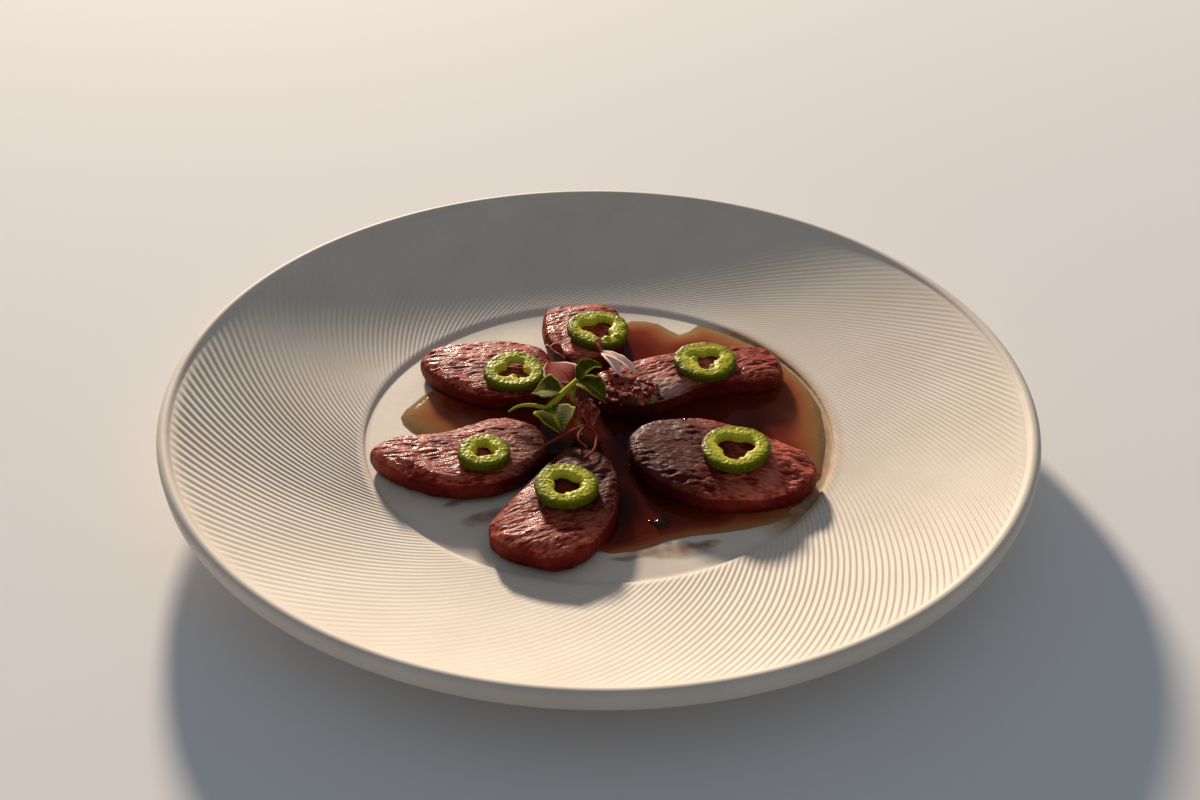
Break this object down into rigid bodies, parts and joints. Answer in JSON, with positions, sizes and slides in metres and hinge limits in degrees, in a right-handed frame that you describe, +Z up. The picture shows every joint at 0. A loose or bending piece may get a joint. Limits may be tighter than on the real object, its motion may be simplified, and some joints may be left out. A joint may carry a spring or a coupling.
{
  "type": "yellowfin tuna tiradito",
  "caption": "Raw tuna slices laid like petals on a wide-rimmed ribbed plate, under green chilli rings, in citrus soy with a tuft of herbs.",
  "frame": {"origin": "on the table under the centre of the plate's foot ring", "axes": "+Z up; the diner sits at -Y; +X is the diner's right"},
  "size_m": [0.272, 0.272, 0.0265],
  "materials": {
    "stoneware_glaze": "satin cream glaze over fine swirling ribs",
    "citrus_soy": "thin clear brown liquid, glossy",
    "raw_tuna": "wet raw fish, dark rose with pale fibres",
    "green_chilli": "cut chilli, dark green skin, pale flesh",
    "green_herb": "soft matt leaf",
    "red_herb": "soft matt leaf",
    "petal": "thin petal, white streaked with pink"
  },
  "bodies": {
    "root": {"plate": "stoneware_glaze", "sauce_pool": "citrus_soy", "tuna_slice_1": "raw_tuna", "tuna_slice_2": "raw_tuna", "tuna_slice_3": "raw_tuna", "tuna_slice_4": "raw_tuna", "tuna_slice_5": "raw_tuna", "tuna_slice_6": "raw_tuna", "chilli_ring_1": "green_chilli", "chilli_ring_2": "green_chilli", "chilli_ring_3": "green_chilli", "chilli_ring_4": "green_chilli", "chilli_ring_5": "green_chilli", "chilli_ring_6": "green_chilli", "green_sprig": "green_herb", "red_sprig": "red_herb", "red_leaf": "red_herb", "blossom": "petal"}
  },
  "joints": []
}
